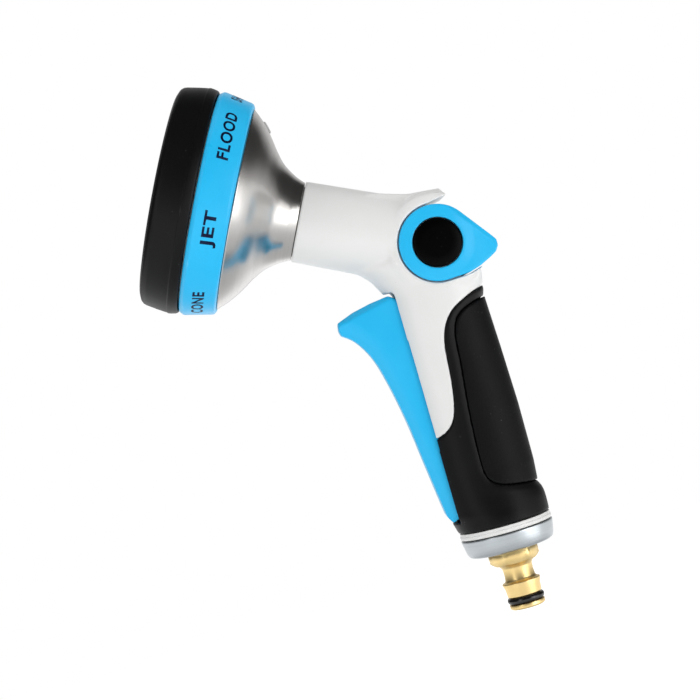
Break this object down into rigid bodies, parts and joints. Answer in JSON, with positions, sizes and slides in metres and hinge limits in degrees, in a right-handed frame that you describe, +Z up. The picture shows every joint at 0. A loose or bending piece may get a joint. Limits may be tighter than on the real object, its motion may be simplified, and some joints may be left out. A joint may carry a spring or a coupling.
{
  "type": "hose spray nozzle",
  "caption": "Hand-held garden hose spray nozzle with a quick-connect plug, a front trigger, a thumb lever for the flow and a turning pattern head.",
  "frame": {"origin": "centre of the hose plug's end face", "axes": "+Z up the handle's axis, the nozzle sprays towards -X and 26.75 degrees up, Y across"},
  "size_m": [0.1506, 0.0972, 0.2517],
  "materials": {
    "white_plastic": "satin light grey-white ABS",
    "black_plastic": "fine-textured black plastic",
    "soft_grip": "soft matt elastomer",
    "blue_plastic": "bright blue moulded plastic",
    "brass": "turned brass",
    "satin_zinc": "satin plated cast metal",
    "brushed_steel": "circumferentially brushed stainless sheet",
    "steel": "stainless wire and fasteners",
    "seal_rubber": "black nitrile",
    "natural_plastic": "natural acetal"
  },
  "bodies": {
    "housing": {"body_shell_left": "white_plastic", "body_shell_right": "white_plastic", "grip_shell_left": "black_plastic", "grip_shell_right": "black_plastic", "grip_pad": "soft_grip", "trim_ring": "white_plastic", "metal_collar": "satin_zinc", "hose_connector": "brass", "connector_oring": "seal_rubber", "connector_washer": "seal_rubber", "inlet_filter": "steel", "inlet_socket": "natural_plastic", "riser_tube_lower": "natural_plastic", "riser_tube_upper": "natural_plastic", "valve_block": "natural_plastic", "valve_gland": "brass", "stem_seal": "seal_rubber", "valve_cap": "brass", "valve_spring": "steel", "flow_housing": "natural_plastic", "neck_tube": "natural_plastic", "neck_oring": "seal_rubber", "head_bell": "brushed_steel", "head_cone": "black_plastic", "diverter_body": "natural_plastic", "diverter_seal": "seal_rubber", "diverter_spring": "steel", "detent_ball": "steel", "detent_spring": "steel", "trigger_pin": "steel", "body_screw_upper": "steel", "body_screw_lower": "steel", "grip_screw_upper": "steel", "grip_screw_lower": "steel"},
    "trigger": {"trigger": "blue_plastic"},
    "stem": {"valve_stem": "brass", "poppet_seal": "seal_rubber"},
    "lever": {"flow_lever": "blue_plastic", "lever_cap_left": "black_plastic", "lever_cap_right": "black_plastic", "flow_spool": "natural_plastic", "spool_oring_left": "seal_rubber", "spool_oring_right": "seal_rubber"},
    "turret": {"selector_ring": "blue_plastic", "front_bezel": "black_plastic", "spray_chamber": "natural_plastic", "plate_gasket": "seal_rubber", "spray_plate": "black_plastic", "jet_insert": "brass", "head_screw": "steel"}
  },
  "joints": [
    {"name": "trigger_pull", "type": "hinge", "parent": "housing", "child": "trigger", "pos_m": [-0.015, 0, 0.05], "axis": [0, 1, 0], "range_deg": [0, 6], "stiffness_Nm_per_rad": 4, "springref_deg": -14.32},
    {"name": "valve_stem_slide", "type": "slide", "parent": "housing", "child": "stem", "axis": [1, 0, 0], "range_m": [0, 0.0037], "deforming": ["valve_spring"]},
    {"name": "flow_control", "type": "hinge", "parent": "housing", "child": "lever", "pos_m": [0.004, 0, 0.1589], "axis": [0, 1, 0], "range_deg": [-55, 0]},
    {"name": "pattern_select", "type": "hinge", "parent": "housing", "child": "turret", "pos_m": [-0.0493, 0, 0.1842], "axis": [-0.893, 0, 0.4501], "continuous": true}
  ],
  "couplings": [
    {"joint": "valve_stem_slide", "follows": "trigger_pull", "m_per_rad": 0.0335}
  ]
}
